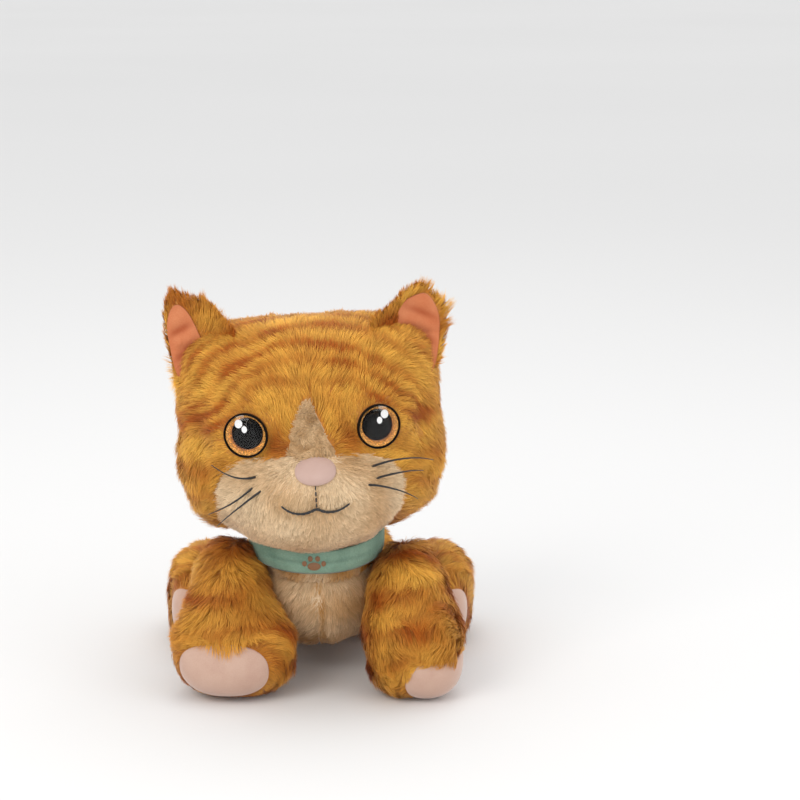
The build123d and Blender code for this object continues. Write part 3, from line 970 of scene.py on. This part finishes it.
def whisker(root, tip, bow):
    """A tapering bristle that leaves the face forwards and sweeps back towards its tip."""
    t = np.linspace(0, 1, 15)
    x, z = (np.outer(1 - t, root) + np.outer(t, tip)).T
    start = face_depth(*np.array([root], float).T)[0] + 1.5
    y = start - WHISKER_REACH * np.sin(np.minimum(t * 1.6, 1) * math.pi / 2) + WHISKER_SWEEP * t ** 2
    path = place(HEAD, np.stack([x, y, z + bow * 4 * t * (1 - t)], 1))
    return tube(path, WHISKER_RADIUS * (1 - 0.72 * t ** 1.5))


for name, rows in WHISKERS.items():
    add_piece(f"whiskers_{name}_bristles", *joined([whisker(*row) for row in rows]), "head", "black_thread",
              [black_thread], [f"whiskers_{name}"])

# ---------------------------------------------------------------- ears
# each outline is in the plane of the face, as sides and heights from the head's centre
EAR_FOOT, EAR_TIP = np.array([71.0, 48.0]), np.array([82.0, 86.0])
EAR_AXIS = unit(EAR_TIP - EAR_FOOT)
EAR_BACK = {
    "left": [(42, 60), (46, 70), (55, 73), (62, 79), (71, 84), (79, 87), (85, 80), (92, 71), (92, 58),
             (88, 46), (84, 33), (75, 36), (64, 45), (52, 52)],
    "right": [(44, 60), (50, 73), (58, 81), (63, 87), (70, 85), (77, 88), (84, 91.5), (89, 83), (90, 70),
              (88, 54), (85, 32), (75, 36), (64, 44), (53, 52)],
}
EAR_LINING = {
    "left": [(60, 69), (66, 78.5), (74, 81.5), (81, 82.5), (86.5, 76), (90, 65), (88.5, 52), (85.5, 40),
             (80.5, 29), (72, 41), (64, 52), (60.5, 60)],
    "right": [(65.5, 56), (71, 71), (75.5, 81), (82, 86), (87, 81), (90, 71), (88.5, 56), (86, 43), (82, 36),
              (76, 44), (67, 50)],
}


def ear_depth(flat):
    """How far forward the front of the ear is: cupped about its middle line, and turned a little outward."""
    off = (flat - EAR_FOOT) @ np.array([EAR_AXIS[1], -EAR_AXIS[0]])
    low = np.clip(56 - flat[:, 1], 0, None)
    return 9.0 - 0.26 * (flat[:, 0] - EAR_FOOT[0]) + 0.010 * off ** 2 + 0.62 * low


def ear_points(side, flat, forward):
    return place(HEAD, np.stack([side * flat[:, 0], -forward, flat[:, 1]], 1))


def mirrored(faces, side):
    return faces if side > 0 else [tuple(loop[::-1]) for loop in faces]


def inside_gap(outline, places):
    """How far each place is from the nearest point of an outline, and whether it is nearer its middle."""
    middle = outline.mean(0)
    distance = np.linalg.norm(outline[None] - places[:, None], axis=2)
    nearest = outline[distance.argmin(1)]
    inside = np.linalg.norm(places - middle, axis=1) < np.linalg.norm(nearest - middle, axis=1)
    return distance.min(1), inside


def build_ear(name, side):
    """An ear: the cloth of its back and edge with their pile, and the velour lining with its creases and their
    painted shade.
    """
    body = f"ear_{name}"
    flat, far, is_back, faces = pillow(smooth_loop(EAR_BACK[name], 72), 12)
    forward = ear_depth(flat) - np.where(is_back, 7.0 * np.sqrt(np.clip(1 - far ** 2, 0, 1)), 0)
    faces = triangles_of(mirrored(faces, side))
    points = ear_points(side, flat, forward)
    add_piece(f"{body}_cloth", points, faces, body, "ginger_fur", [ginger_cloth], [f"{body}_fur"], fill=0.3)
    outline = smooth_loop(EAR_LINING[name], 84)
    gap, inside = inside_gap(outline, flat[faces].mean(1))
    furry = is_back[faces].any(1) | ~inside | (gap <= 0.5)

    def comb(p):
        x, _, z = place(TO_HEAD, p).T
        return turn(HEAD, np.stack([x - side * EAR_FOOT[0], np.full(len(p), 9.0), z - EAR_FOOT[1] + 8], 1))

    def length(p):
        x, _, z = place(TO_HEAD, p).T
        outer = smooth(86, 92, np.abs(x)) * hump(z, 64, 14)
        return 8.0 + 2.0 * hump(z, 88, 9) + 6.0 * outer * (side > 0)

    def tone(p):
        local = place(TO_HEAD, p)
        return np.clip(0.38 + 0.22 * waves(local, 14, 12) + 0.3 * hump(local[:, 2], 60, 7), 0, 1)

    grow_fur(f"{body}_pile", (points, faces), furry, 2.6, length, comb, tone, ginger_fur, body, "ginger_fur",
             300 + side, lift=28, clump=3.2, pull=0.4, swirl=0.25)

    flat, far, is_back, faces = pillow(outline, 16)
    swing = np.cos((flat @ unit(np.array([0.45, 0.9]))) * 0.42)
    crease = 1.4 * swing * hump(far, 0.35, 0.45)
    # painted shade on the lining: darkest in the hollows between its creases, and darker towards the ear's
    # foot
    painted_shade = 0.85 * np.clip(-swing, 0, 1) ** 2 * hump(far, 0.3, 0.5) + 0.35 * smooth(54, 36, flat[:, 1])
    sag = 0.8 * waves(np.column_stack([flat, flat[:, 0] * 0]), 16, 40 + side) * (1 - far ** 2)
    front = 1.1 + 0.9 * np.sqrt(np.clip(1 - far ** 2, 0, 1)) + crease + sag
    stands_out = np.where(is_back, 0.3, front)
    forward = ear_depth(flat) + np.where(far > AT_RIM, 0.6, stands_out)
    add_piece(f"{body}_velour", ear_points(side, flat, forward), mirrored(faces, side), body, "ear_velour",
              [ear_velour], [f"{body}_lining"], fill=0.4, attributes={"painted_shade": painted_shade})


build_ear("left", 1)
build_ear("right", -1)

# ---------------------------------------------------------------- neck and torso
def neck_form(p):
    x, y, z = place(TO_NECK, p).T
    radial = np.hypot(x, y)
    side = np.where(z > 0, np.hypot(radial, z), radial) - 38.5
    return np.maximum(side, -21.5 - z)


def legs_form(p):
    return np.minimum.reduce([form(p) for form in leg_forms.values()])


torso_lobes = lobes(25, ((0, -2, 57), (46, 44, 40)), ((0, 62, 44), (57, 43, 45)))
torso_form = above_ground(torso_lobes)
leg_forms = {
    "front_leg_right": above_ground(lobes(15, ((-57, -24, 70), (19, 26, 24)), ((-56, -42, 52), (25, 32, 31)),
                                          ((-53.5, -64, 32), (38, 28, 31), 2.4))),
    "front_leg_left": above_ground(lobes(15, ((60, -24, 68), (17, 26, 22)), ((62, -40, 52), (26, 33, 32)),
                                         ((67, -61, 31), (30, 31, 31), 2.4))),
}
for name, side in (("hind_leg_right", -1), ("hind_leg_left", 1)):
    leg_forms[name] = above_ground(lobes(15, ((side * 80, 66, 33), (24, 33, 29), 2.4),
                                         ((side * 84, 36, 28), (19, 27, 27), 2.4)))

neck_middle = NECK_PIVOT - [0, 0, 4]
neck_points, neck_faces = form_mesh(neck_form, neck_middle, 5)
add_piece("neck_cloth", neck_points, neck_faces, "neck", "ginger_fur", [ginger_cloth], ["neck_skin"],
          fill=0.9)
stuff("neck_filling", *form_mesh(neck_form, neck_middle, 4), "neck", ["neck_stuffing"])
neck_front = (neck_points[neck_faces].mean(1) - NECK_PIVOT)[:, 1] < -20
for name, chosen, fur, slot, seed in (("neck_fur", ~neck_front, ginger_fur, "ginger_fur", 400),
                                      ("throat_fur", neck_front, cream_fur, "cream_fur", 410)):
    grow_fur(name, (neck_points, neck_faces), chosen, 1.8, even(7.0), even([0.0, 0.0, -1.0]),
             lambda p: np.clip(0.5 + 0.2 * waves(p, 14, 3), 0, 1), fur, "neck", slot, seed,
             keep=lambda p: place(TO_NECK, p)[:, 2] < 22)

torso_middle = (0, 28, 48)
torso_points, torso_faces = form_mesh(torso_form, torso_middle, 6)
torso_middles = torso_points[torso_faces].mean(1)


def in_bib(p):
    x, y, z = p.T
    return (np.abs(x) < 31 + 8 * smooth(40, 90, z)) & (y < 2) & (z < 97)


def comb_torso(p):
    """Down and out from the seam on the chest, and back and down over the rest."""
    x, y, z = p.T
    chest = smooth(10, -20, y)
    down = np.stack([np.sign(x - 2) * 0.35, np.zeros(len(p)), np.full(len(p), -1.0)], 1)
    back = np.stack([np.sign(x) * 0.25, np.ones(len(p)), np.full(len(p), -0.45)], 1)
    return down * chest[:, None] + back * (1 - chest[:, None])


def from_seam(p):
    """How far to the side of the chest's wavering middle seam."""
    return p[:, 0] - 2 - 3 * np.sin(p[:, 2] / 22)


def torso_length(p):
    shy = 0.5 + 0.5 * smooth(0, 5, np.abs(from_seam(p)))
    return np.where(in_bib(p), 9.0 * shy, 11.5)


def torso_tone(p):
    """Cross bars on the back; on the chest, darker along the seam, and darker towards the floor as painted
    shade.
    """
    x, y, z = p.T
    bars = 0.5 + 0.5 * np.cos((y + 0.002 * x ** 2 + 3 * waves(p, 20, 31)) * 2 * np.pi / 21)
    ginger = 0.32 + 0.58 * bars ** 2.2 * (0.8 + 0.2 * waves(p, 15, 32))
    # on the chest, the last term is painted shade, darkening towards the floor
    cream = 0.5 + 0.5 * hump(from_seam(p), 0, 2.2) + 0.12 * waves(p, 10, 33) + 0.3 * smooth(50, 20, z)
    return np.clip(np.where(in_bib(p), cream, ginger), 0, 1)


def torso_keep(p):
    s = place(TO_NECK, p)
    under_neck = (np.hypot(s[:, 0], s[:, 1]) < 39) & (s[:, 2] > -23)
    return (legs_form(p) > -7) & ~under_neck & (p[:, 2] > GROUND + 0.5)


bib_faces = in_bib(torso_middles)
panels(torso_points, torso_faces, "torso",
       ("torso_cloth", ~bib_faces, ginger_cloth, "ginger_fur", "torso_skin"),
       ("chest_cloth", bib_faces, cream_cloth, "cream_fur", "chest_panel"))
stuff("torso_filling", *form_mesh(torso_form, torso_middle, 4), "torso", ["torso_stuffing"])
grow_fur("torso_fur", (torso_points, torso_faces), ~bib_faces, 1.6, torso_length, comb_torso, torso_tone,
         ginger_fur, "torso", "ginger_fur", 420, keep=torso_keep, lift=28, swirl=0.35)
grow_fur("chest_fur", (torso_points, torso_faces), bib_faces, 2.6, torso_length, comb_torso, torso_tone,
         cream_fur, "torso", "cream_fur", 440, keep=torso_keep, lift=20, clump=3.0)

# ---------------------------------------------------------------- legs
# each sole: the paw's middle, its turn about the upright, its dip, and the pad's half-width and half-height
SOLES = {
    "front_leg_right": ((-54.5, -66, 27), -12, 8, 29.5, 20.5),
    "front_leg_left": ((68, -61, 30), 56, 36, 29, 19),
}
for name, side in (("hind_leg_right", -1), ("hind_leg_left", 1)):
    SOLES[name] = ((side * 84.5, 36.5, 28), side * 22, 0, 15, 18)
# where the pile hangs over a pad's upper edge, as a share of its half-width, and how deeply
OVERHANG = {"front_leg_right": (0.10, 0.30), "front_leg_left": (-0.2, 0.1), "hind_leg_right": (0, 0),
            "hind_leg_left": (0, 0)}


def sole_frame(name):
    """From the sole's own frame (x across, y up, z out of the paw) to the cat's."""
    middle, turned, dip, _, _ = SOLES[name]
    return move(*middle) @ rotation("Z", turned) @ rotation("X", 90 + dip)


def build_leg(name, tone):
    """A leg with its pile and filling; gives its pad, whose rim is held for the puffing."""
    form = leg_forms[name]
    sole = sole_frame(name)
    to_sole = np.linalg.inv(sole)
    _, _, _, half_wide, half_tall = SOLES[name]
    side = -1 if name.endswith("right") else 1
    front = name.startswith("front")
    middle = np.array([side * 61, -42, 50]) if front else np.array([side * 84, 52, 30])
    points, faces = form_mesh(form, middle, 5)
    add_piece(f"{name}_cloth", points, faces, name, "ginger_fur", [ginger_cloth], [f"{name}_skin"], fill=0.8)
    stuff(f"{name}_filling", *form_mesh(form, middle, 4), name, [f"{name}_stuffing"])
    dip_at, dip_deep = OVERHANG[name]

    def pad_share(p):
        """Below 1 on the pad: how far across it a place is, with the overhang counted as outside."""
        q = place(to_sole, p)
        across, up = q[:, 0] / half_wide, q[:, 1] / half_tall
        share = (np.abs(across) ** 2.3 + np.abs(up) ** 2.3) ** (1 / 2.3)
        return np.where(q[:, 2] > 0, share + dip_deep * hump(across, dip_at, 0.28) * (up > 0) * up, 9)

    def comb(p):
        q = place(to_sole, p)
        ring = unit(np.column_stack([q[:, :2], np.zeros(len(p))]))
        parted = 1 - hump(q[:, 0] / half_wide, dip_at, 0.3) * (q[:, 1] > 0) * (dip_deep > 0)
        outward = turn(sole, ring) * (hump(pad_share(p), 1.0, 0.35) * parted)[:, None]
        down = np.array([side * 0.12, -0.25 if front else 0.35, -1.0])
        return down + outward * 2.6

    def length(p):
        near_pad = 1 - 0.5 * hump(pad_share(p), 1.0, 0.2)
        return 13.0 * near_pad * (0.65 + 0.35 * smooth(2, 22, p[:, 2]))

    def keep(p):
        hidden = (torso_form(p) < -7) | (np.minimum(neck_form(p), p[:, 2] - GROUND - 0.5) < 0)
        return (pad_share(p) > 0.96) & ~hidden

    grow_fur(f"{name}_fur", (points, faces), np.full(len(faces), True), 2.2 if front else 1.6, length, comb,
             tone, ginger_fur, name, "ginger_fur", 500 + 20 * list(SOLES).index(name), keep=keep, lift=26,
             clump=5.0, pull=0.36, swirl=0.5)

    flat, far, is_back, faces = pillow(oval(half_wide, half_tall, 96, 2.3), 22)
    origin = place(sole, np.column_stack([flat, np.zeros(len(flat))]))
    out = depth_along(form, origin, sole[:3, 2], 70)
    crown = 0.6 + 2.6 * np.sqrt(np.clip(1 - far ** 2, 0, 1))
    height = out + np.where(is_back, -1.0 * (1 - far), crown)
    pad_points = place(sole, np.column_stack([flat, height]))
    pad_points[:, 2] = np.maximum(pad_points[:, 2], FLOOR_GAP)
    pad = add_piece(f"{name}_velour", pad_points, faces, name, "pink_velour", [pink_velour], [f"{name}_pad"])
    hold_rim(pad, np.where(is_back, 1.0, smooth(0.93, 1.0, far)))
    return pad


def front_tone(p):
    """Uneven tabby bands round a front leg, darkest at the shoulder and the wrist; at the shoulder, under the
    collar, their dark is painted shade as well.
    """
    x, y, z = p.T
    bands = 0.5 + 0.5 * np.cos((z + 0.35 * y + 5 * waves(p, 24, 61)) * 2 * np.pi / 26)
    return np.clip(0.44 + 0.34 * bands ** 1.8 + 0.14 * waves(p, 12, 62), 0, 1)


def hind_tone(p):
    x, y, z = p.T
    bands = 0.5 + 0.5 * np.cos((y + 0.5 * z + 4 * waves(p, 24, 63)) * 2 * np.pi / 22)
    return np.clip(0.36 + 0.46 * bands ** 2 + 0.14 * waves(p, 12, 64), 0, 1)


puff([build_leg(name, front_tone if name.startswith("front") else hind_tone) for name in SOLES], 4.0, 1.6)

# ---------------------------------------------------------------- tail
TAIL_BEND, TAIL_SWEEP, TAIL_RADIUS = 36.0, 100.0, 8.5
# each end of the tail is a rounded cap, this share of its length
TAIL_CAP = 0.14
TAIL_MIDDLE = np.array([TAIL_BEND, 111.5, 12.7])


def tail_line(t):
    """The tail's middle line, from the rump at 0 to the tip at 1, and which way it runs."""
    a = np.radians(180 - TAIL_SWEEP * t)
    spot = TAIL_MIDDLE + TAIL_BEND * np.stack([np.cos(a), np.sin(a), np.zeros_like(a)], -1)
    ahead = np.stack([np.sin(a), -np.cos(a), np.zeros_like(a)], -1)
    return spot, ahead


ends = np.sin(np.linspace(0, 1, 9)[1:-1] * np.pi / 2)
shares = np.sort(np.concatenate([-TAIL_CAP * (1 - ends), np.linspace(0, 1, 48), 1 + TAIL_CAP * ends]))
over = np.where(shares < 0, -shares, np.where(shares > 1, shares - 1, 0)) / TAIL_CAP
points, faces = tube(tail_line(shares)[0], TAIL_RADIUS * np.sqrt(np.clip(1 - over ** 2, 0.01, 1)), 40)
tail_faces = triangles_of(faces)
add_piece("tail_cloth", points, tail_faces, "tail", "ginger_fur", [ginger_cloth], ["tail_skin"], fill=0.9)
inner_tail = tube(tail_line(np.linspace(0, 1, 24))[0], np.full(24, TAIL_RADIUS - 3), 16)
add_piece("tail_filling", *inner_tail, "tail", "polyester_stuffing", [stuffing_fibre], ["tail_stuffing"],
          fill=0.9)


def along_tail(p):
    angle = np.degrees(np.arctan2(p[:, 1] - TAIL_MIDDLE[1], p[:, 0] - TAIL_MIDDLE[0]))
    return (180 - angle) / TAIL_SWEEP


def tail_tone(p):
    rings = 0.5 + 0.5 * np.cos(along_tail(p) * 6.0 * np.pi)
    return np.clip(0.34 + 0.55 * rings ** 2 + 0.1 * waves(p, 8, 71), 0, 1)


grow_fur("tail_fur", (points, tail_faces), np.full(len(tail_faces), True), 1.8, even(10.0),
         lambda p: tail_line(along_tail(p))[1], tail_tone, ginger_fur, "tail", "ginger_fur", 600, lift=26)

# ---------------------------------------------------------------- collar
COLLAR_INNER, COLLAR_THICK, COLLAR_HEIGHT, COLLAR_FOOT = 44.0, 2.0, 14.0, -12.5
COLLAR = NECK @ move(0, 0, COLLAR_FOOT)
# the strap's angles from its start at the nape to its end, and how far its lapped end stands off
STRAP_START, LAP_START, STRAP_END, LAP_RISE = 107.0, -247.0, -287.0, 3.6
TAPE_THICK, TAPE_MARGIN = 0.8, 1.5


def on_collar(angle, radius, up):
    """Places about the collar's axis, as one row each."""
    return np.stack([radius * np.cos(angle), radius * np.sin(angle), up], -1)


def build_strap():
    """The strap, whose end laps over its start at the nape: a rounded section carried round the neck."""
    lower = [(0.0, 0.5), (0.0, 0.25), (0.3, 0.0), (1.0, -0.12), (1.7, 0.0), (2.0, 0.25), (2.0, 0.5)]
    section = np.array(lower + [(t, 1 - h) for t, h in lower[::-1]])
    degrees = np.linspace(STRAP_START, STRAP_END, 400)
    lift = LAP_RISE * smooth(LAP_START, LAP_START - 7, degrees)[:, None]
    angle = np.radians(degrees)[:, None]
    sway = 0.15 * np.sin(3 * angle + 1) + 0.072 * np.sin(7 * angle)
    rows = on_collar(angle + 0 * section[:, 0], COLLAR_INNER + lift + section[:, 0],
                     section[:, 1] * COLLAR_HEIGHT + sway)
    faces = ring_faces(len(degrees), len(section))
    add_piece("collar_strap", place(COLLAR, rows.reshape(-1, 3)), faces, "collar", "teal_suede", [teal_suede],
              ["collar_band"])


def build_tape(kind, inner):
    """A curved patch of tape at the nape, between the strap's two ends."""
    around = np.radians(np.linspace(74, 106, 30))[:, None]
    out = np.array([0, TAPE_THICK, TAPE_THICK, 0])
    up = np.array([TAPE_MARGIN, TAPE_MARGIN, COLLAR_HEIGHT - TAPE_MARGIN, COLLAR_HEIGHT - TAPE_MARGIN])
    rows = on_collar(around + 0 * out, inner + out + 0 * around, up + 0 * around)
    faces = ring_faces(len(rows), len(out), flip=True)
    add_piece(f"collar_{kind}_tape", place(COLLAR, rows.reshape(-1, 3)), faces, "collar", "hook_and_loop",
              [hook_tape], [f"collar_{kind}_patch"], shade_smooth=False)


build_strap()
build_tape("loop", COLLAR_INNER + COLLAR_THICK)
build_tape("hook", COLLAR_INNER + COLLAR_THICK + TAPE_THICK)

# the paw: its pad and four toes, each with its half-width, half-height and place from the pad's middle
PAW = [(4.4, 2.9, 0, 0), (1.6, 2.0, -6.3, 1.8), (1.6, 2.0, -2.4, 5.5), (1.6, 2.0, 2.4, 5.5),
       (1.6, 2.0, 6.3, 1.8)]
parts = []
for wide, tall, x, y in PAW:
    flat, far, is_back, loops = pillow(oval(wide, tall, 48), 10)
    ridge = 0.10 * np.abs(np.sin(flat[:, 0] * 4.5)) * (1 - far ** 4)
    height = np.where(is_back, 0.0, 0.15 + 0.5 * np.sqrt(np.clip(1 - far ** 2, 0, 1)) + ridge)
    around = (flat[:, 0] + x) / (COLLAR_INNER + COLLAR_THICK) - np.pi / 2
    radius = COLLAR_INNER + COLLAR_THICK + height
    up = flat[:, 1] + y + COLLAR_HEIGHT / 2 - 2.5
    parts.append((place(COLLAR, on_collar(around, radius, up)), loops))
points, faces = joined(parts)
add_piece("collar_paw_stitching", points, faces, "collar", "brown_thread", [brown_thread],
          ["collar_paw_motif"])

# ---------------------------------------------------------------- pieces that keep their CAD shape
for node, material in (("eye_left_washer", washer_plastic), ("eye_right_washer", washer_plastic),
                       ("seat_pellet_bag", cotton_weave), ("seat_pellets", pellet_plastic)):
    mesh = frame["nodes"][node].data
    mesh.materials.clear()
    mesh.materials.append(material)

# ---------------------------------------------------------------- camera, lights and floor
def add_light(name, location, power, colour, aim=(0, 0, 0.14)):
    """A lamp one metre square, in metres."""
    lamp = bpy.data.lights.new(name, "AREA")
    lamp.shape = "RECTANGLE"
    lamp.size = lamp.size_y = 1.0
    lamp.energy = power
    lamp.color = colour
    holder = bpy.data.objects.new(name, lamp)
    bpy.context.collection.objects.link(holder)
    holder.location = location
    holder.rotation_euler = (Vector(aim) - Vector(location)).to_track_quat("-Z", "Y").to_euler()


def build_stage():
    look = Look("floor_paper")
    grain = look.node("TexNoise", Scale=40).outputs[0]
    paper = look.finish(Base_Color=look.ramp(grain, (0.3, grey(0.79)), (0.7, grey(0.81))), Roughness=0.9)
    mesh = bpy.data.meshes.new("floor")
    reach = 40.0
    mesh.from_pydata([(-reach, -reach, 0), (reach, -reach, 0), (reach, reach, 0), (-reach, reach, 0)], [],
                     [(0, 1, 2, 3)])
    floor = bpy.data.objects.new("floor", mesh)
    bpy.context.collection.objects.link(floor)
    mesh.materials.append(paper)
    world = bpy.data.worlds.new("studio")
    world.use_nodes = True
    world.node_tree.nodes["Background"].inputs[0].default_value = (1, 1, 1, 1)
    world.node_tree.nodes["Background"].inputs[1].default_value = 0.95
    bpy.context.scene.world = world
    add_light("key", (-0.9, -1.3, 1.3), 11, (1.0, 0.97, 0.93))
    add_light("fill", (1.2, -0.9, 0.7), 3, (0.97, 0.98, 1.0))
    add_light("top", (0.1, 0.4, 1.5), 4, (1, 1, 1))


def build_camera():
    """A long lens from a little above, with the cat left of and below the middle as in the picture."""
    seen_width = 536.0
    distance, e = 1400.0, math.radians(13.0)
    middle = np.array([0.0, -20.0, 0.0]) + SHIFT
    middle[2] = 127.0
    up = np.array([0.0, math.sin(e), math.cos(e)])
    aim = middle + np.array([56.5, 0, 0]) + up * 61.0
    spot = aim + distance * np.array([0.0, -math.cos(e), math.sin(e)])
    data = bpy.data.cameras.new("camera")
    data.sensor_width = 36
    data.lens = data.sensor_width * distance / seen_width
    data.clip_end = 50
    camera = bpy.data.objects.new("camera", data)
    bpy.context.collection.objects.link(camera)
    camera.location = spot / 1000
    camera.rotation_euler = Vector(aim - spot).to_track_quat("-Z", "Y").to_euler()
    bpy.context.scene.camera = camera


build_stage()
build_camera()
bpy.context.scene.view_settings.view_transform = "Standard"
